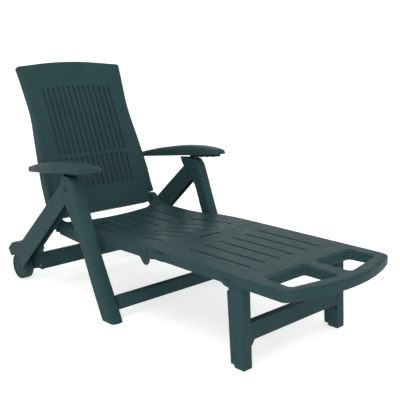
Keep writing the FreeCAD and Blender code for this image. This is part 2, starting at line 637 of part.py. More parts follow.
# ---------------------------------------------------------------- assembly
build_seat()
build_legrest()
build_stand()
build_backrest()
for side, sign in SIDES:
    build_front_leg(side, sign)
    build_rear_leg(side, sign)
    build_wheel(side, sign)
    build_armrest(side, sign)
    head, leg_in, leg_out = dim("pin_head_radius"), "Dims.leg_inner", "Dims.leg_outer"
    cross_pin("apex_pin_" + side, sign, APEX, "pin_radius", f"{leg_in} - 2", f"{leg_out} + 1.5",
              [(f"{leg_out} + 0.2", "Dims.pin_head", head), (f"{leg_in} - 3.2", "Dims.pin_head", head)])
    cross_pin("armrest_lock_peg_" + side, sign, LOCK_PEG, "peg_radius",
              f"{leg_in} + 0.5", f"{leg_out} - 0.5", [])
    cross_pin("seat_pivot_pin_" + side, sign, SEAT_PIVOT, "pin_radius", f"{HALF} - 14", f"{leg_in} + 7.5",
              [(f"{HALF} + 1", f"{leg_in} - {HALF} - 2", 11), (f"{INSIDE} - 4", "3.5", head)])
    cross_pin("backrest_hinge_pin_" + side, sign, BACK_HINGE, "pin_radius",
              "Dims.back_tongue_half - 14", f"{HALF} + 0.5", [(f"{HALF} + 0.2", "Dims.pin_head", head)])
    cross_pin("armrest_pivot_pin_" + side, sign, ARM_PIVOT, "pin_radius",
              "Dims.back_tongue_half", f"{HALF} + 34", [(f"{HALF} - 5.1", "13.3", 10.5)])
    cross_pin("legrest_hinge_pin_" + side, sign, LEGREST_HINGE, "pin_radius",
              "Dims.arm_inner - 4", f"{HALF} + 0.5", [(f"{HALF} + 0.2", "Dims.pin_head", head)])
    cross_pin("stand_pivot_pin_" + side, sign, STAND_PIVOT, "pin_radius",
              "Dims.stand_inner - 12", f"{HALF} + 0.5", [(f"{HALF} + 0.2", "Dims.pin_head", head)])
    cross_pin("seat_rest_peg_" + side, sign, SEAT_REST, "peg_radius",
              f"{HALF} - 12", "Dims.rear_inner + 5.5",
              [(f"{HALF} + 1.5", f"Dims.rear_inner - {HALF} - 2", 11)])
    cross_pin("wheel_axle_" + side, sign, WHEEL_CENTRE, "axle_radius",
              "Dims.cheek_inner - 2", "Dims.wheel_outer",
              [("Dims.cheek_inner - 4.2", "4", 12), ("Dims.rear_wide_inner + 0.3", "2.8", 14)])
    cross_pin("wheel_cap_" + side, sign, WHEEL_CENTRE, "axle_radius",
              "Dims.wheel_outer + 1.6", "Dims.wheel_outer + 3.4", [("Dims.wheel_outer + 0.3", "3.2", 15)])

build_bar("front_crossbar", 36, 43, 98, "Dims.leg_inner", FRONT_SCREWS)
build_bar("rear_crossbar", 630, 63, 138, "Dims.cheek_inner", REAR_SCREWS)
build_screws("front_crossbar_screws", FRONT_SCREWS, dim("leg_inner") - 6,
             dim("leg_inner") + dim("leg_plate"))
build_screws("rear_crossbar_screws", REAR_SCREWS, dim("cheek_inner") - 6, dim("rear_wide_inner"))

# ---------------------------------------------------------------- checks and export
doc.recompute()
for item in doc.Objects:
    if any(word in ("Invalid", "Error") for word in item.State):
        raise RuntimeError(f"{item.Label} failed: {item.State}")
for node in nodes:
    if node.Shape.isNull() or not node.Shape.isValid():
        raise RuntimeError(node.Label + " has no valid shape")
os.makedirs("parts", exist_ok=True)
for node in nodes:
    node.Shape.exportStep(os.path.join("parts", node.Label + ".step"))
    print(node.Label, len(node.Shape.Solids), "solids", round(node.Shape.Volume / 1000), "cm3")
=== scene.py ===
"""Looks of the reclining sun lounger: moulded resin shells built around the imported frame.

Outlines and sizes are written in millimetres, in the frame's own axes: X across, the foot
end towards -Y, the back towards +Y, +Z up. Meshes are turned into metres when they are made.
"""
import math

import bmesh
import bpy
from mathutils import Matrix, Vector, geometry


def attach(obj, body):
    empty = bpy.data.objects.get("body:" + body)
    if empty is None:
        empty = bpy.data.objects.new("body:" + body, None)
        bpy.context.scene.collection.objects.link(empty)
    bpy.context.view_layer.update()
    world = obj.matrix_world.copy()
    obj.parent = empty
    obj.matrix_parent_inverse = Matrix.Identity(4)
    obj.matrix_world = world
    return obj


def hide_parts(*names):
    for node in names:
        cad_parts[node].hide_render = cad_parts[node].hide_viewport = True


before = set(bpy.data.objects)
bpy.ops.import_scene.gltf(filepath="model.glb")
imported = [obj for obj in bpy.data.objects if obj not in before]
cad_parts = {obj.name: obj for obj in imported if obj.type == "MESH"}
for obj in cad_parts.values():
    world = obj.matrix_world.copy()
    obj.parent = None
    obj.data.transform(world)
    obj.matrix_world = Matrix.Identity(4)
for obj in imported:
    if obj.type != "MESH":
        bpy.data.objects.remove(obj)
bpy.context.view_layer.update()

MM = 0.001
SIDES = (("left", 1), ("right", -1))

# Hinge points as (Y, Z), and main sizes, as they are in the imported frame.
BACK_FOOT = (527.0, 314.0)
BACK_LEAN = math.radians(22.3)
BACK_HEIGHT = 692.0
ARM_PIVOT = (618.0, 530.0)
ARM_TILT = math.radians(7.16)
STAND_PIVOT = (-532.0, 299.0)
WHEEL_CENTRE = (757.0, 60.0)
PANEL_HALF = 290.0
SEAT_FRONT = -150.0
DECK_TOP = 327.0

# Thicknesses of the mouldings and of the hems inside their slots.
SHELL = 4.2
SKIRT_WALL = 5.0
HEM_WALL = 2.4
HEM_DEPTH = 17.0


# ---------------------------------------------------------------- curves
def through(points):
    """Smooth function of one value through (value, height) points."""
    xs = [p[0] for p in points]
    ys = [p[1] for p in points]
    steps = [(ys[i + 1] - ys[i]) / (xs[i + 1] - xs[i]) for i in range(len(xs) - 1)]
    slopes = [steps[0]]
    for before, after in zip(steps, steps[1:]):
        slopes.append(0.0 if before * after <= 0 else 2 * before * after / (before + after))
    slopes.append(steps[-1])

    def value(x):
        if x <= xs[0]:
            return ys[0]
        if x >= xs[-1]:
            return ys[-1]
        i = max(k for k in range(len(xs) - 1) if xs[k] <= x)
        h = xs[i + 1] - xs[i]
        t = (x - xs[i]) / h
        return (ys[i] * (1 + 2 * t) * (1 - t) ** 2 + slopes[i] * h * t * (1 - t) ** 2
                + ys[i + 1] * t * t * (3 - 2 * t) + slopes[i + 1] * h * t * t * (t - 1))
    return value


def outline(points, step=12.0, turn=math.radians(11)):
    """Anticlockwise list of (u, v) from corners (u, v) or (u, v, radius), with arcs sampled."""
    corners = [Vector(p[:2]) for p in points]
    radii = [p[2] if len(p) > 2 else 0.0 for p in points]
    count = len(corners)
    runs = []
    for i, corner in enumerate(corners):
        back = (corners[i - 1] - corner).normalized()
        ahead = (corners[(i + 1) % count] - corner).normalized()
        half = back.angle(ahead) / 2
        if radii[i] == 0 or half > math.radians(89.8):
            runs.append([corner])
            continue
        reach = radii[i] / math.tan(half)
        centre = corner + (back + ahead).normalized() * (radii[i] / math.sin(half))
        first = corner + back * reach - centre
        sweep = math.pi - 2 * half
        sign = 1 if back.x * ahead.y - back.y * ahead.x < 0 else -1
        pieces = max(2, math.ceil(sweep / turn), math.ceil(radii[i] * sweep / step))
        arc = []
        for k in range(pieces + 1):
            angle = sign * sweep * k / pieces
            c, s = math.cos(angle), math.sin(angle)
            arc.append(centre + Vector((first.x * c - first.y * s, first.x * s + first.y * c)))
        runs.append(arc)
    result = []
    for i, run in enumerate(runs):
        result += run
        gap = runs[(i + 1) % count][0] - run[-1]
        pieces = max(1, round(gap.length / step))
        result += [run[-1] + gap * k / pieces for k in range(1, pieces)]
    cleaned = []
    for p in result:
        if not cleaned or (p - cleaned[-1]).length > 0.05:
            cleaned.append(p)
    area = sum(a.x * b.y - b.x * a.y for a, b in zip(cleaned, cleaned[1:] + cleaned[:1]))
    return cleaned if area > 0 else cleaned[::-1]


def stadium(u, low, high, width, arc=8):
    """Closed outline, anticlockwise, of a round-ended slot that runs along v."""
    r = width / 2
    loop = []
    for centre, start in ((high - r, 0.0), (low + r, math.pi)):
        for k in range(arc + 1):
            a = start + math.pi * k / arc
            loop.append(Vector((u + r * math.cos(a), centre + r * math.sin(a))))
    straight = 6
    top = loop[:arc + 1]
    bottom = loop[arc + 1:]
    left = [top[-1].lerp(bottom[0], k / straight) for k in range(1, straight)]
    right = [bottom[-1].lerp(top[0], k / straight) for k in range(1, straight)]
    return top + left + bottom + right


def normals_of(loop):
    """Outward normals of an anticlockwise outline, scaled so that offsets keep parallel."""
    result = []
    for i, p in enumerate(loop):
        before = (p - loop[i - 1]).normalized()
        after = (loop[(i + 1) % len(loop)] - p).normalized()
        n1 = Vector((before.y, -before.x))
        n2 = Vector((after.y, -after.x))
        n = (n1 + n2).normalized()
        result.append(n / max(n.dot(n1), 0.5))
    return result


def shifted(loop, distances):
    """Outline moved outwards by a distance, or by one for each point."""
    if not hasattr(distances, "__len__"):
        distances = [distances] * len(loop)
    return [p + n * d for p, n, d in zip(loop, normals_of(loop), distances)]


def inside(p, loop):
    """Whether a point lies within an outline."""
    hit = False
    for i, a in enumerate(loop):
        b = loop[i - 1]
        if (a.y > p.y) != (b.y > p.y) and p.x < (b.x - a.x) * (p.y - a.y) / (b.y - a.y) + a.x:
            hit = not hit
    return hit


# ---------------------------------------------------------------- meshes
def to_object(name, bm, smooth=True):
    """Object from a bmesh in millimetres."""
    bmesh.ops.remove_doubles(bm, verts=bm.verts, dist=0.01)
    bmesh.ops.recalc_face_normals(bm, faces=bm.faces)
    bmesh.ops.scale(bm, vec=(MM, MM, MM), verts=bm.verts)
    mesh = bpy.data.meshes.new(name)
    bm.to_mesh(mesh)
    bm.free()
    obj = bpy.data.objects.new(name, mesh)
    bpy.context.scene.collection.objects.link(obj)
    for face in mesh.polygons:
        face.use_smooth = smooth
    return obj


def sharpen(obj, angle=38.0):
    """Smooth shading that keeps edges sharper than the angle."""
    mesh = obj.data
    bm = bmesh.new()
    bm.from_mesh(mesh)
    limit = math.radians(angle)
    for edge in bm.edges:
        if len(edge.link_faces) == 2:
            edge.smooth = edge.calc_face_angle(0.0) < limit
    bm.to_mesh(mesh)
    bm.free()


def bridge(bm, low, high):
    """Band of quads between two closed rings with the same number of vertices."""
    for i in range(len(low)):
        j = (i + 1) % len(low)
        bm.faces.new((low[i], low[j], high[j], high[i]))


class Plate:
    """Moulded plate: a top surface over an outline, with rolled edges, skirt and openings.

    place(u, v, w) gives the point in millimetres; w grows upwards from the plate.
    """

    def __init__(self, place, top, grid):
        self.place = place
        self.top = top
        self.grid = grid
        self.bm = bmesh.new()
        self.upper = []
        self.under = []

    def ring(self, loop, heights):
        return [self.bm.verts.new(self.place(p.x, p.y, h)) for p, h in zip(loop, heights)]

    def heights(self, loop, drop):
        drops = drop if hasattr(drop, "__len__") else [drop] * len(loop)
        return [self.top(p.x, p.y) - d for p, d in zip(loop, drops)]

    def rolled(self, loop, radii, outwards, steps):
        """Rings of a rolled edge, from the top surface to the wall."""
        rings = []
        for k in range(steps + 1):
            t = math.pi / 2 * k / steps
            moved = shifted(loop, [outwards * r * (1 - math.sin(t)) for r in radii])
            rings.append((moved, self.heights(moved, [r * (1 - math.cos(t)) for r in radii])))
        return rings

    def edge(self, loop, radius, bottom, wall, thickness, outwards=-1, steps=5):
        """Edge all along an outline. bottom(u, v) is the height where its wall ends."""
        radii = [radius(p.x, p.y) if callable(radius) else radius for p in loop]
        rings = self.rolled(loop, radii, outwards, steps)
        self.upper.append((rings[0][0], self.ring(*rings[0])))
        previous = self.upper[-1][1]
        for moved, heights in rings[1:]:
            ring = self.ring(moved, heights)
            bridge(self.bm, previous, ring)
            previous = ring
        ends = [bottom(p.x, p.y) if callable(bottom) else bottom for p in loop]
        lip = min(1.2, wall / 3)
        inner = shifted(loop, outwards * wall)
        profile = [(loop, [e + lip for e in ends]),
                   (shifted(loop, outwards * lip), ends),
                   (shifted(loop, outwards * (wall - lip)), ends),
                   (inner, [e + lip for e in ends]),
                   (inner, self.heights(inner, thickness))]
        for moved, heights in profile:
            ring = self.ring(moved, heights)
            bridge(self.bm, previous, ring)
            previous = ring
        self.under.append((inner, previous))

    def fill(self, rings, drop):
        """Triangles between an outer ring (the first) and the rings of the openings."""
        coords, verts, edges, owner = [], [], [], []
        for number, (loop, ring) in enumerate(rings):
            start = len(coords)
            owner += [number] * len(loop)
            coords += [p.copy() for p in loop]
            verts += ring
            count = len(loop)
            edges += [(start + i, start + (i + 1) % count) for i in range(count)]
        us = [p.x for p in rings[0][0]]
        vs = [p.y for p in rings[0][0]]
        du, dv = self.grid
        nu = math.ceil((max(us) - min(us)) / du)
        nv = math.ceil((max(vs) - min(vs)) / dv)
        middle_u = (max(us) + min(us)) / 2
        rails = [(loop, min(p.x for p in loop), max(p.x for p in loop),
                  min(p.y for p in loop), max(p.y for p in loop)) for loop, _ in rings]
        for i in range(nu + 1):
            for j in range(1, nv):
                p = Vector((middle_u + (i - nu / 2) * du, min(vs) + (max(vs) - min(vs)) * j / nv))
                if self.free(p, rails):
                    coords.append(p)
                    height = self.top(p.x, p.y) - drop
                    verts.append(self.bm.verts.new(self.place(p.x, p.y, height)))
        # Output type 1 keeps what is inside the outer ring, with the openings still covered.
        out = geometry.delaunay_2d_cdt(coords, edges, [], 1, 1e-5)
        corner_of, hole_of = [], []
        for p, origins in zip(out[0], out[3]):
            hole_of.append(owner[origins[0]] if origins and origins[0] < len(owner) else 0)
            if origins:
                corner_of.append(verts[origins[0]])
            else:
                corner_of.append(self.bm.verts.new(self.place(p.x, p.y, self.top(p.x, p.y) - drop)))
        # A triangle with all its corners on one opening covers that opening, so it is left out.
        for face in out[2]:
            holes = {hole_of[k] for k in face}
            if len(holes) > 1 or 0 in holes:
                self.bm.faces.new([corner_of[k] for k in face])

    @staticmethod
    def covers(p, rails):
        loop = rails[0][0]
        if not inside(p, loop):
            return False
        for hole, low_u, high_u, low_v, high_v in rails[1:]:
            if low_u < p.x < high_u and low_v < p.y < high_v and inside(p, hole):
                return False
        return True

    def free(self, p, rails):
        """Whether a grid point is inside, and not too near an edge."""
        if not self.covers(p, rails):
            return False
        near = 0.3 * min(self.grid)
        for loop, low_u, high_u, low_v, high_v in rails:
            if not (low_u - near < p.x < high_u + near and low_v - near < p.y < high_v + near):
                continue
            for i, a in enumerate(loop):
                q, t = geometry.intersect_point_line(p, loop[i - 1], a)
                if (a - p).length < near or (0 <= t <= 1 and (q - p).length < near):
                    return False
        return True

    def finish(self, name, thickness):
        """Close both surfaces and make the object."""
        self.fill(self.upper, 0.0)
        self.fill(self.under, thickness)
        return to_object(name, self.bm)


def from_side(x, p):
    """Point of a side outline at a given X."""
    return Vector((x, p.x, p.y))


def slab(bm, loop, low, high, low_radius=0.0, high_radius=0.0, place=from_side, steps=4):
    """Closed prism of an outline between two depths, with rolled edges at each end."""
    rings = []
    for depth, radius, sign in ((low, low_radius, 1), (high, high_radius, -1)):
        radii = radius if hasattr(radius, "__len__") else [radius] * len(loop)
        made = []
        for k in range(steps + 1 if max(radii) > 0 else 1):
            t = math.pi / 2 * k / steps
            moved = shifted(loop, [-r * (1 - math.sin(t)) for r in radii]) if max(radii) > 0 else loop
            made.append([bm.verts.new(place(depth + sign * r * (1 - math.cos(t)), p))
                         for p, r in zip(moved, radii)])
        rings += made if sign > 0 else made[::-1]
    for before, after in zip(rings, rings[1:]):
        bridge(bm, before, after)
    bm.faces.new(rings[0])
    bm.faces.new(rings[-1])


def slab_object(name, *args, **kwargs):
    bm = bmesh.new()
    slab(bm, *args, **kwargs)
    return to_object(name, bm)


def apply_modifiers(obj):
    """Replace the mesh by its evaluated one and drop the modifiers."""
    bpy.context.view_layer.update()
    evaluated = obj.evaluated_get(bpy.context.evaluated_depsgraph_get())
    mesh = bpy.data.meshes.new_from_object(evaluated)
    obj.modifiers.clear()
    obj.data = mesh


def boolean(obj, tools, operation="DIFFERENCE"):
    """Add or take away closed tool objects, and delete them."""
    for tool in tools:
        modifier = obj.modifiers.new("boolean", "BOOLEAN")
        modifier.operation = operation
        modifier.solver = "EXACT"
        modifier.object = tool
    apply_modifiers(obj)
    for tool in tools:
        bpy.data.objects.remove(tool)
    return obj


def join(obj, others):
    """Add other objects' meshes to the first one's mesh."""
    bm = bmesh.new()
    bm.from_mesh(obj.data)
    for other in others:
        bm.from_mesh(other.data)
        bpy.data.objects.remove(other)
    bm.to_mesh(obj.data)
    bm.free()
    return obj


# ---------------------------------------------------------------- materials
def moulded_plastic(name, colour, roughness, grain=0.00012, metallic=0.0):
    """Satin moulded plastic: cloudy colour, uneven gloss, fine grain and slow waviness."""
    material = bpy.data.materials.new(name)
    material.use_nodes = True
    tree = material.node_tree
    shader = tree.nodes["Principled BSDF"]
    shader.inputs["Metallic"].default_value = metallic
    shader.inputs["Specular IOR Level"].default_value = 0.5 if metallic else 0.04
    place = tree.nodes.new("ShaderNodeTexCoord")

    def noise(scale, detail):
        node = tree.nodes.new("ShaderNodeTexNoise")
        node.inputs["Scale"].default_value = scale
        node.inputs["Detail"].default_value = detail
        tree.links.new(place.outputs["Object"], node.inputs["Vector"])
        return node.outputs["Fac"]

    def ramp(source, low, high):
        node = tree.nodes.new("ShaderNodeMapRange")
        node.inputs["From Min"].default_value = 0.3
        node.inputs["From Max"].default_value = 0.7
        node.inputs["To Min"].default_value = low
        node.inputs["To Max"].default_value = high
        tree.links.new(source, node.inputs["Value"])
        return node.outputs["Result"]

    clouds = noise(9.0, 4.0)
    mix = tree.nodes.new("ShaderNodeMix")
    mix.data_type = "RGBA"
    mix.inputs[6].default_value = (*[c * 0.93 for c in colour], 1)
    mix.inputs[7].default_value = (*[c * 1.07 for c in colour], 1)
    tree.links.new(ramp(clouds, 0.0, 1.0), mix.inputs[0])
    tree.links.new(mix.outputs[2], shader.inputs["Base Color"])
    tree.links.new(ramp(noise(35.0, 3.0), roughness - 0.05, roughness + 0.06), shader.inputs["Roughness"])
    waves = tree.nodes.new("ShaderNodeBump")
    waves.inputs["Strength"].default_value = 0.25
    waves.inputs["Distance"].default_value = 0.0012
    tree.links.new(noise(14.0, 1.0), waves.inputs["Height"])
    bump = tree.nodes.new("ShaderNodeBump")
    bump.inputs["Strength"].default_value = 0.35
    bump.inputs["Distance"].default_value = grain
    tree.links.new(noise(1100.0, 2.0), bump.inputs["Height"])
    tree.links.new(waves.outputs["Normal"], bump.inputs["Normal"])
    tree.links.new(bump.outputs["Normal"], shader.inputs["Normal"])
    return material


RESIN = moulded_plastic("green_resin", (0.0210, 0.0480, 0.0510), 0.40)
WHEEL_RESIN = moulded_plastic("wheel_resin", (0.0190, 0.0440, 0.0470), 0.44)
PIN_RESIN = moulded_plastic("pin_resin", (0.0200, 0.0460, 0.0490), 0.38)
STEEL = moulded_plastic("zinc_steel", (0.42, 0.42, 0.40), 0.35, grain=0.00005, metallic=1.0)


def install(obj, node, body, material=RESIN):
    """Give a piece its finish and let it stand for its node."""
    sharpen(obj)
    weighted = obj.modifiers.new("weighted", "WEIGHTED_NORMAL")
    weighted.keep_sharp = True
    apply_modifiers(obj)
    obj.data.materials.clear()
    obj.data.materials.append(material)
    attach(obj, body)
    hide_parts(node)
    return obj


# ---------------------------------------------------------------- seat
def level(u, v, w):
    """Place of a plate that lies flat: plan outline, height upwards."""
    return Vector((u, v, w))


SLOT_WIDTH = 9.0
SLOT_ROLL = 1.8
SLOT_PITCH = 74.5


def build_seat():
    """Dished deck with slots, deep skirts, hinge ears and the tongues beside the legrest."""
    rim = through([(-150, 327), (-40, 326), (83, 322), (190, 312), (300, 307), (492, 308)])
    dish = through([(-150, 327), (-85, 325), (45, 308), (150, 292), (240, 288), (492, 289)])
    roll = through([(-150, 5), (-40, 5), (83, 9), (164, 14), (300, 13), (430, 10), (470, 6)])
    low = through([(-150, 286), (-128, 285), (-122, 266), (-112, 256.5), (-100, 255), (-88, 262),
                   (-78, 274), (-66, 281.5), (40, 280), (100, 266), (166, 247), (331, 247),
                   (414, 251), (492, 256)])
    seam = 6.0

    def top(u, v):
        return dish(v) + (rim(v) - dish(v)) * min(1.0, abs(u) / 285) ** 2

    def radius(u, v):
        if abs(u) < PANEL_HALF - 1:
            return 0.8 if v < 0 else 5.0
        if v < SEAT_FRONT + seam:
            return 0.8 + (v - SEAT_FRONT) / seam * 4.2
        return roll(v)

    def bottom(u, v):
        if abs(u) > 284:
            return low(v)
        if abs(u) < finger + 2 and v < 0:
            return top(u, v) - 20.0
        return top(u, v) - (6.0 if v < 0 else 22.0)

    finger = 57.0
    plan = [(-PANEL_HALF, SEAT_FRONT), (-finger, SEAT_FRONT), (-finger, SEAT_FRONT + 6, 2),
            (finger, SEAT_FRONT + 6, 2), (finger, SEAT_FRONT), (PANEL_HALF, SEAT_FRONT),
            (PANEL_HALF, 492, 7), (-PANEL_HALF, 492, 7)]
    plate = Plate(level, top, (SLOT_PITCH / 6, 12.0))
    plate.edge(outline(plan, step=7.0), radius, bottom, SKIRT_WALL, SHELL)
    for i in range(6):
        x = (i - 2.5) * SLOT_PITCH
        bow = 16.0 * (1 - (x / (2.5 * SLOT_PITCH)) ** 2)
        for start, end in ((222 - bow, 440 - bow), (-88, 158 - bow)):
            plate.edge(stadium(x, start, end, SLOT_WIDTH), SLOT_ROLL,
                       lambda u, v: top(u, v) - HEM_DEPTH, HEM_WALL, SHELL, outwards=1, steps=3)
    seat = plate.finish("seat_shell", SHELL)
    extras = []
    ear = outline([(420, 304), (504, 315, 30), (524, 351, 23.4), (571, 351, 23.4), (571, 312, 12),
                   (515, 258, 8), (420, 252.5)])
    peg_mouth = outline([(476, 235), (494.4, 292), (494.4, 299.8, 7.5), (509.6, 299.8, 7.5),
                         (509.6, 235)])
    tongue = outline([(-207, 289, 3), (-146, 289), (-146, 326.8), (-207, 326.8, 1.5)], step=4.0)
    roll_up = [5.0 if p.y > 320 else 0.8 for p in tongue]
    for _, sign in SIDES:
        ends = (262.5, 289.8) if sign > 0 else (-289.8, -262.5)
        lug = slab_object("seat_ear", ear, *ends, 4.5, 4.5)
        extras.append(boolean(lug, [slab_object("mouth", peg_mouth, min(ends) - 9, max(ends) + 9)]))
        if sign > 0:
            extras.append(slab_object("seat_tongue", tongue, 284.6, 289.8, 0.0, roll_up))
        else:
            extras.append(slab_object("seat_tongue", tongue, -289.8, -284.6, roll_up, 0.0))
    join(seat, extras)
    return install(seat, "seat_panel", "seat")


# ---------------------------------------------------------------- legrest
def build_legrest():
    """Flat slotted deck with a skirt, a bulged foot end and two rolled hand openings."""
    neck, foot, skirt_end = 283.7, -776.0, 291.0
    lug_y, lug_z = STAND_PIVOT

    def top(u, v):
        return DECK_TOP

    def radius(u, v):
        if v > -153:
            return 0.8
        if v > -216:
            return 0.8 + max(0.0, (-209 - v)) * 0.6
        return 5.0 + 5.0 * min(1.0, max(0.0, (-730 - v) / 40))

    def bottom(u, v):
        if v > -157 and abs(u) < 280:
            return DECK_TOP - (20 if abs(u) < finger + 2 else 6)
        bump = max(0.0, 1 - ((v - lug_y) / 24) ** 2) if abs(u) > 280 else 0.0
        return skirt_end - 10.5 * math.sqrt(bump)

    def lip(u, v):
        rear = max(0.0, min(1.0, (v + 700) / 46))
        return 7.5 + 13.0 * rear * rear * (3 - 2 * rear)

    finger = 57.0
    plan = [(-neck, -151.4), (-neck, -209), (-PANEL_HALF, -209), (-PANEL_HALF, foot, 22),
            (0, foot - 106, 700), (PANEL_HALF, foot, 22), (PANEL_HALF, -209), (neck, -209),
            (neck, -151.4), (finger, -151.4), (finger, -156, 1), (-finger, -156, 1), (-finger, -151.4)]
    plate = Plate(level, top, (SLOT_PITCH / 4, 18.0))
    plate.edge(outline(plan, step=8.0), radius, bottom, SKIRT_WALL, SHELL)
    for i in range(6):
        x = (i - 2.5) * SLOT_PITCH
        plate.edge(stadium(x, -543, -237, SLOT_WIDTH), SLOT_ROLL, DECK_TOP - HEM_DEPTH,
                   HEM_WALL, SHELL, outwards=1, steps=3)
    for sign in (-1, 1):
        mouth = [(34, -651, 12), (227, -651, 18), (235, -754, 16), (34, -790, 12)]
        corners = [(sign * x, y, r) for x, y, r in mouth][::-sign]
        plate.edge(outline(corners, step=8.0), lip, skirt_end, 4.0, SHELL, outwards=1, steps=6)
    legrest = plate.finish("legrest_shell", SHELL)
    arm = outline([(-262, 291.5), (-110, 285), (-95, 285, 14.9), (-95, 315, 14.9), (-222, 315),
                   (-222, 324), (-262, 324)])
    lug = outline([(lug_y - 24, 324), (lug_y - 20, lug_z - 18, 17.9), (lug_y + 20, lug_z - 18, 17.9),
                   (lug_y + 24, 324)])
    rib = outline([(-160, 303), (-160, 324), (-636, 324), (-636, 303)])
    extras = []
    for _, sign in SIDES:
        for loop, near, far in ((arm, 268, 281), (lug, 230, 238.6), (rib, 147, 151)):
            low, high = sorted((sign * near, sign * far))
            extras.append(slab_object("legrest_lug", loop, low, high, 1.2, 1.2, steps=2))
    extras.append(slab_object("legrest_rib", rib, -2, 2, 1.0, 1.0, steps=2))
    join(legrest, extras)
    return install(legrest, "legrest_panel", "legrest")


# ---------------------------------------------------------------- backrest
def build_backrest():
    """Tall bowed panel, waisted, with an arched top, deep flange and two rows of slots."""
    half_height = BACK_HEIGHT / 2
    flange = through([(0, 48), (300, 48), (520, 36), (700, 24), (740, 24)])
    sin_lean, cos_lean = math.sin(BACK_LEAN), math.cos(BACK_LEAN)

    def place(u, v, w):
        y = BACK_FOOT[0] + v * sin_lean - w * cos_lean
        return Vector((u, y, BACK_FOOT[1] + v * cos_lean + w * sin_lean))

    def bow(v):
        return 10.0 * (1 - ((v - half_height) / half_height) ** 2)

    def top(u, v):
        return bow(v) - 9.0 * (1 - min(1.0, abs(u) / 270) ** 2) * min(1.0, max(0.0, v) / 120)

    def radius(u, v):
        return 3.0 + 6.5 * min(1.0, max(0.0, (v - 56) / 40))

    def bottom(u, v):
        return bow(v) - flange(v)

    tongue = 258.0
    face = [(-tongue, 0, 6.5), (tongue, 0, 6.5), (tongue, 46, 3), (288, 46, 6.5), (288, 165, 500),
            (260, 480, 700), (282, 706, 14), (0, 738, 1400), (-282, 706, 14), (-260, 480, 700),
            (-288, 165, 500), (-288, 46, 6.5), (-tongue, 46, 3)]
    pitch, slot_width, slot_roll, hem_depth = 27.8, 10.0, 5.0, 22.0
    plate = Plate(place, top, (pitch / 2, 14.0))
    plate.edge(outline(face, step=8.0), radius, bottom, SKIRT_WALL, SHELL)
    for i in range(14):
        x = (i - 6.5) * pitch
        crown = 14.0 * (1 - (x / (6.5 * pitch)) ** 2)
        for start, end in ((116, 260), (276, 592 + crown)):
            plate.edge(stadium(x, start, end, slot_width), slot_roll,
                       lambda u, v: top(u, v) - hem_depth, HEM_WALL, SHELL, outwards=1, steps=4)
    back = plate.finish("backrest_shell", SHELL)
    extras = []
    for along in (268.0, 640.0):
        web = [(-262, along - 2), (262, along - 2), (262, along + 2), (-262, along + 2)]
        loop = outline(web, step=20.0)
        depth = bow(along)
        extras.append(slab_object("back_rib", loop, depth - 28, depth - 11.5, 1.0, 0.0,
                                  place=lambda w, p: place(p.x, p.y, w), steps=2))
    return install(join(back, extras), "backrest_panel", "backrest")


# ---------------------------------------------------------------- armrests
def build_armrest(side, sign):
    """Boat-shaped pad: domed top, flat rim, narrow rear end and rounded nose."""
    sin_tilt, cos_tilt = math.sin(ARM_TILT), math.cos(ARM_TILT)

    def place(u, v, w):
        y = ARM_PIVOT[0] - v * cos_tilt + w * sin_tilt
        return Vector((sign * u, y, ARM_PIVOT[1] + v * sin_tilt + w * cos_tilt))

    inner_edge = through([(-34, 299), (52, 300), (232, 302), (460, 303), (503, 306)])
    outer_edge = through([(-34, 331), (52, 350), (232, 377), (400, 379), (503, 372)])
    crest = through([(-38, 11), (60, 25), (173, 33), (260, 36), (350, 32.5), (430, 22.5), (503, 8)])
    roll = through([(-38, 5), (20, 10), (120, 15), (400, 16), (503, 14)])

    def top(u, v):
        middle = (inner_edge(v) + outer_edge(v)) / 2
        half = (outer_edge(v) - inner_edge(v)) / 2
        return crest(v) - 5.0 * ((u - middle) / half) ** 2 * min(1.0, (v + 40) / 120)

    plan = [(299, -38, 6), (331, -38, 6), (352, 52, 200), (378, 232, 400), (379.5, 440, 120),
            (372, 505, 34), (305, 505, 34), (302, 440, 120), (301, 200, 400)]
    plate = Plate(place, top, (13.0, 14.0))
    plate.edge(outline(plan, step=8.0), lambda u, v: roll(v), lambda u, v: -10.5, 4.0, 4.0, steps=7)
    arm = plate.finish("armrest_shell_" + side, 4.0)

    first_notch, notch_pitch, notches = 313.1, 38.0, 5
    rack = [(275, 22)]
    for position in range(notches):
        centre = first_notch + position * notch_pitch
        rack += [(centre - 14, -23.4, 2), (centre - 8, -19.6, 3),
                 (centre + 8, -19.6, 3), (centre + 14, -23.4, 2)]
    rack += [(482, -2), (472, 8), (360, 24)]
    loop = outline(rack, step=30.0)
    strip = slab_object("arm_rack", loop, 329, 349, 1.2, 1.2, steps=2,
                        place=lambda x, p: place(x, p.x, p.y))
    boss = outline([(-28, -9), (28, -9), (28, 10), (-28, 8)], step=30.0)
    lug = slab_object("arm_lug", boss, 300.5, 327, place=lambda x, p: place(x, p.x, p.y))
    return install(join(arm, [strip, lug]), "armrest_" + side, "armrest_" + side)


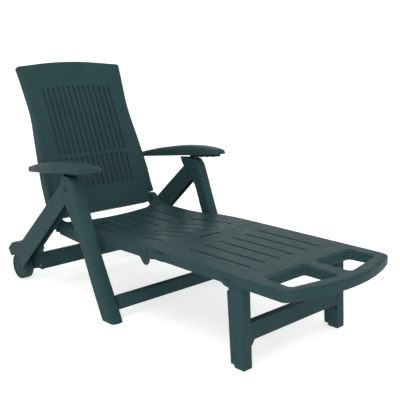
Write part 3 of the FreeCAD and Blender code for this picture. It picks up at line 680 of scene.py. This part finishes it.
# ---------------------------------------------------------------- front legs
def build_front_leg(side, sign):
    """Channel leg open at the back: broad rounded front, flat cheeks, closed head and foot."""
    front = through([(0, 8), (11, 13), (218, 122), (292, 159), (405, 205), (490, 238), (515, 249),
                     (530, 260), (540, 271), (545, 285)])
    back = through([(0, 77), (130, 143), (250, 200), (320, 242), (420, 307), (465, 331), (490, 340),
                    (523, 342), (535, 338), (542, 332), (545, 322)])
    lobe = through([(0, 77), (130, 143), (250, 200), (320, 232), (420, 272), (465, 306), (500, 346),
                    (530, 366), (545, 372)])
    outer, inner, plate, flange = 365.0, 313.0, 5.0, 9.0
    corner, inner_corner, crown = 17.0, 10.0, 2.5

    def ring(z, depth):
        """Points (x, y) of the section, anticlockwise seen from above on the left side."""
        y0, y1, y2 = front(z), back(z), lobe(z)
        path = [(outer, y1)]
        path += [(outer, y1 + (y0 + corner - y1) * k / 4) for k in range(1, 4)]
        for k in range(9):
            t = math.pi / 2 * k / 8
            path.append((outer - corner * (1 - math.cos(t)), y0 + corner * (1 - math.sin(t))))
        for k in range(1, 6):
            x = (outer - corner) + (inner + inner_corner - outer + corner) * k / 6
            path.append((x, y0 - crown * math.sin(math.pi * k / 6)))
        for k in range(7):
            t = math.pi / 2 * k / 6
            path.append((inner + inner_corner * (1 - math.sin(t)), y0 + inner_corner * (1 - math.cos(t))))
        path += [(inner, y0 + inner_corner + (y2 - y0 - inner_corner) * k / 4) for k in range(1, 5)]
        low_x, high_x, floor = inner + plate, outer - plate, y0 + flange
        full = [(low_x, y2), (low_x, (floor + y2) / 2), (low_x, floor + 5), (low_x + 5, floor),
                (high_x - 9, floor), (high_x, floor + 9), (high_x, (floor + y1) / 2), (high_x, y1)]
        for x, y in full:
            shut = y2 + (y1 - y2) * (x - low_x) / (high_x - low_x)
            path.append((x, shut + (y - shut) * depth))
        return path

    stations = [(0, 0), (4, 0), (8, 0), (8, 1)]
    stations += [(z, 1) for z in range(14, 505, 14)]
    stations += [(512, 1), (520, 1), (528, 1), (534, 1), (534, 0), (539, 0), (543, 0), (545, 0)]
    bm = bmesh.new()
    previous = None
    for z, depth in stations:
        current = [bm.verts.new((sign * x, y, z)) for x, y in ring(z, depth)]
        if previous:
            bridge(bm, previous, current)
        else:
            bm.faces.new(current)
        previous = current
    bm.faces.new(previous)
    leg = to_object("front_leg_shell_" + side, bm)
    return install(leg, "front_leg_" + side, "front_frame")


# ---------------------------------------------------------------- rear legs
def build_rear_leg(side, sign):
    """Raked box leg, open underneath, with a wheel hood, a pointed outer cheek and an axle cheek."""
    hood_edge = [(717, 181, 30), (790, 172, 60), (832, 134, 3), (806, 108, 2)]
    head = [(280, 523, 31.9), (340, 517, 20)]
    heel = [(662, 108), (286, 463, 30)]
    cheek = outline(head + [(717, 181, 30), (790, 172, 60), (832, 134, 4), (810, 100, 4), (770, 112, 12),
                            (751, 108, 5), (726, 66), (712, 48, 5), (692, 80, 30)] + heel, step=20.0)
    web = outline(head + hood_edge + [(757, 129, 50), (700, 112, 20)] + heel, step=20.0)
    hood = outline([(640, 248)] + hood_edge + [(757, 129, 50), (706, 112, 20), (662, 108), (600, 170)],
                   step=20.0)
    under_hood = [(716, 170, 26), (784, 162, 54), (819, 133, 3), (800, 96), (757, 92), (700, 92)]
    cavity = outline([(356, 489)] + under_hood + [(648, 92), (300, 424)], step=20.0)
    hood_cavity = outline([(668, 210)] + under_hood + [(640, 110), (622, 160)], step=20.0)
    axle = outline([(627, 190), (646, 236), (717, 181, 30), (770, 172, 40), (779, 70, 12), (777, 38, 18),
                    (737, 38, 18), (662, 62, 8), (627, 62, 5)], step=20.0)

    def box(name, loop, near, far, near_radius=0.0, far_radius=0.0):
        if sign > 0:
            return slab_object(name, loop, near, far, near_radius, far_radius)
        return slab_object(name, loop, -far, -near, far_radius, near_radius)

    leg = box("rear_leg_shell_" + side, web, 318.4, 356.0, 3.0, 0.0)
    boolean(leg, [box("cheek", cheek, 352.5, 359.6, 0.0, 3.2), box("hood", hood, 300.6, 350.0, 3.0, 0.0),
                  box("axle", axle, 291.2, 302.0, 2.0, 0.0)], "UNION")
    boolean(leg, [box("cavity", cavity, 323.4, 354.6), box("cavity", hood_cavity, 305.6, 330.0)])
    return install(leg, "rear_leg_" + side, "rear_frame")


# ---------------------------------------------------------------- crossbars and stand
def build_bar(node, body, front, low, top, end):
    """Channel bar between two legs, open underneath, with softened edges."""
    depth, wall = 26.0, 4.5
    back = front + depth
    outer = outline([(front, low, 1.5), (back, low, 1.5), (back, top, 5), (front, top, 5)],
                    turn=math.radians(22))
    inner = outline([(front + wall, low - 8), (back - wall, low - 8),
                     (back - wall, top - wall, 3), (front + wall, top - wall, 3)])
    bar = slab_object(node + "_shell", outer, -end, end)
    boolean(bar, [slab_object("channel", inner, 8 - end, end - 8)])
    return install(bar, node, body)


def build_stand():
    """Two raked legs joined by a crossbar, open at the back, with webs in the corners."""
    y, z = STAND_PIVOT
    leg = outline([(y - 17, z + 17, 16.9), (y + 17, z + 17, 16.9), (y + 17, z - 15, 10), (-539, 262, 8),
                   (-560, 0, 5), (-607, 0, 5), (-590, 298, 8), (y - 17, z + 2, 4)])
    hollow = outline([(-599, 8), (-540, 8), (-518, 262), (-582, 262)])
    bar = outline([(-600, 97, 3), (-572, 97, 3), (-566, 160, 3), (-594, 160, 3)])
    channel = outline([(-589, 101), (-560, 101), (-556, 155), (-584, 155)])
    stand = slab_object("legrest_stand_shell", bar, -241, 241)
    boolean(stand, [slab_object("channel", channel, -232, 232)])
    pieces = []
    for _, sign in SIDES:
        low, high = sorted((sign * 240.0, sign * 282.0))
        post = slab_object("stand_leg", leg, low, high, 4.0, 4.0)
        pieces.append(boolean(post, [slab_object("stand_hollow", hollow, low + 6, high - 6)]))
        corner = [(241, 99, 0), (205, 98, 2), (236, 93, 22), (242, 66, 0)]
        web = outline([(sign * x, h, r) for x, h, r in corner][::-sign])
        pieces.append(slab_object("stand_web", web, -598.5, -576.0, 2.0, 2.0, steps=2,
                                  place=lambda depth, p: Vector((p.x, depth, p.y))))
    return install(join(stand, pieces), "legrest_stand", "legrest_stand")


# ---------------------------------------------------------------- wheels
def turned(bm, profile, centre, sign, segments=72, close=False):
    """Surface of revolution about X of a closed (x, radius) profile."""
    rings = []
    for x, radius in profile:
        rings.append([bm.verts.new((sign * x, centre[0] + radius * math.cos(2 * math.pi * k / segments),
                                    centre[1] + radius * math.sin(2 * math.pi * k / segments)))
                      for k in range(segments)])
    pairs = list(zip(rings, rings[1:]))
    if close:
        pairs.append((rings[-1], rings[0]))
    for before, after in pairs:
        bridge(bm, before, after)
    return rings


def build_wheel(side, sign):
    """Broad wheel with a grooved, soft-edged tread, dished faces and spokes, and a domed cap."""
    inner, outer, tread = 304.3, 349.7, 60.0
    bore = 8.4
    profile = [(inner, bore), (inner, 17), (inner + 1.5, 18.5), (inner + 13, 19.5), (inner + 13, 44),
               (inner + 1.2, 46), (inner, 47.5), (inner, 54), (inner + 1.0, 56.5), (inner + 4.5, tread)]
    for groove in (14.0, 22.7, 31.4):
        profile += [(inner + groove - 2.2, tread), (inner + groove - 1.2, tread - 1.4),
                    (inner + groove + 1.2, tread - 1.4), (inner + groove + 2.2, tread)]
    profile += [(outer - 4.5, tread), (outer - 1.6, 58.6), (outer - 0.3, 56), (outer, 53), (outer, 49.5),
                (outer - 0.8, 47.6), (outer - 3.0, 45.5), (outer - 3.4, 32), (outer - 3.0, 20.5),
                (outer - 0.8, 18.4), (outer, 16.5), (outer, bore)]
    bm = bmesh.new()
    turned(bm, profile, WHEEL_CENTRE, sign, close=True)
    wheel = to_object("wheel_shell_" + side, bm)
    spokes = []
    for k in range(6):
        angle = 2 * math.pi * k / 6
        spoke = outline([(17, -2.2, 0.8), (46, -1.8, 0.8), (46, 1.8, 0.8), (17, 2.2, 0.8)], step=40.0)
        low, high = sorted((sign * (inner + 3), sign * (inner + 14)))

        def spin(x, p, angle=angle):
            return Vector((x, WHEEL_CENTRE[0] + p.x * math.cos(angle) - p.y * math.sin(angle),
                           WHEEL_CENTRE[1] + p.x * math.sin(angle) + p.y * math.cos(angle)))
        spokes.append(slab_object("spoke", spoke, low, high, 0.8, 0.8, place=spin, steps=2))
    install(join(wheel, spokes), "wheel_" + side, "wheel_" + side, WHEEL_RESIN)

    bm = bmesh.new()
    dome = [(350.4, 14.2), (351.2, 15.0), (352.2, 14.6)]
    dome += [(352.2 + 1.6 * math.sin(math.pi / 2 * k / 6), 14.2 * math.cos(math.pi / 2 * k / 6) + 0.4)
             for k in range(1, 7)]
    rings = turned(bm, dome, WHEEL_CENTRE, sign, segments=48)
    bm.faces.new(rings[0])
    bm.faces.new(rings[-1])
    cap = to_object("wheel_cap_shell_" + side, bm)
    install(cap, "wheel_cap_" + side, "wheel_" + side, PIN_RESIN)


# ---------------------------------------------------------------- assembly
build_seat()
build_legrest()
build_backrest()
build_stand()
for side, sign in SIDES:
    build_armrest(side, sign)
    build_front_leg(side, sign)
    build_rear_leg(side, sign)
    build_wheel(side, sign)
build_bar("front_crossbar", "front_frame", 36.0, 43.0, 98.0, 313.0)
build_bar("rear_crossbar", "rear_frame", 630.0, 63.0, 138.0, 291.0)

for node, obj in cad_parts.items():
    is_steel = "screws" in node
    obj.data.materials.clear()
    obj.data.materials.append(STEEL if is_steel else PIN_RESIN)


# ---------------------------------------------------------------- stage
CAMERA_PLACE = (-1.8258, -2.0306, 1.0574)
CAMERA_DIP = 12.69
CAMERA_HEADING = 43.33
LAMPS = (("key", (-1.6, -1.2, 3.6), 2.2, 60.0), ("fill", (-2.6, -2.4, 1.2), 1.6, 16.0))


def build_floor():
    """Pale floor that glows a little, so that shadows on it stay faint."""
    bm = bmesh.new()
    bmesh.ops.create_grid(bm, x_segments=1, y_segments=1, size=30.0)
    mesh = bpy.data.meshes.new("floor")
    bm.to_mesh(mesh)
    bm.free()
    floor = bpy.data.objects.new("floor", mesh)
    bpy.context.scene.collection.objects.link(floor)
    paint = bpy.data.materials.new("floor_paint")
    paint.use_nodes = True
    shader = paint.node_tree.nodes["Principled BSDF"]
    shader.inputs["Base Color"].default_value = (0.62, 0.62, 0.62, 1)
    shader.inputs["Emission Color"].default_value = (1.0, 1.0, 1.0, 1)
    shader.inputs["Emission Strength"].default_value = 0.62
    shader.inputs["Roughness"].default_value = 0.9
    mesh.materials.append(paint)


def build_sky(at_horizon, overhead):
    """White sky, brightest at the horizon."""
    world = bpy.data.worlds.new("studio")
    bpy.context.scene.world = world
    world.use_nodes = True
    tree = world.node_tree
    sky = tree.nodes["Background"]
    sky.inputs["Color"].default_value = (1.0, 1.0, 1.0, 1)
    direction = tree.nodes.new("ShaderNodeTexCoord")
    split = tree.nodes.new("ShaderNodeSeparateXYZ")
    fade = tree.nodes.new("ShaderNodeMapRange")
    fade.inputs["To Min"].default_value = at_horizon
    fade.inputs["To Max"].default_value = overhead
    tree.links.new(direction.outputs["Generated"], split.inputs["Vector"])
    tree.links.new(split.outputs["Z"], fade.inputs["Value"])
    tree.links.new(fade.outputs["Result"], sky.inputs["Strength"])


def build_lamps(aim):
    """Large soft lamps, turned towards the object."""
    for name, place, size, power in LAMPS:
        light = bpy.data.lights.new(name, "AREA")
        light.size = size
        light.energy = power
        lamp = bpy.data.objects.new(name, light)
        lamp.location = place
        lamp.rotation_euler = (aim - Vector(place)).to_track_quat("-Z", "Y").to_euler()
        bpy.context.scene.collection.objects.link(lamp)


def build_camera():
    """Camera near the foot end, on the right of a person lying down, looking slightly down."""
    lens = bpy.data.cameras.new("camera")
    lens.lens = 61.85
    lens.sensor_width = 36.0
    camera = bpy.data.objects.new("camera", lens)
    camera.location = CAMERA_PLACE
    camera.rotation_euler = (math.radians(90 - CAMERA_DIP), 0, math.radians(-CAMERA_HEADING))
    bpy.context.scene.collection.objects.link(camera)
    bpy.context.scene.camera = camera


build_floor()
build_sky(1.25, 0.65)
build_lamps(Vector((0, 0, 0.35)))
build_camera()
bpy.context.scene.view_settings.view_transform = "Standard"
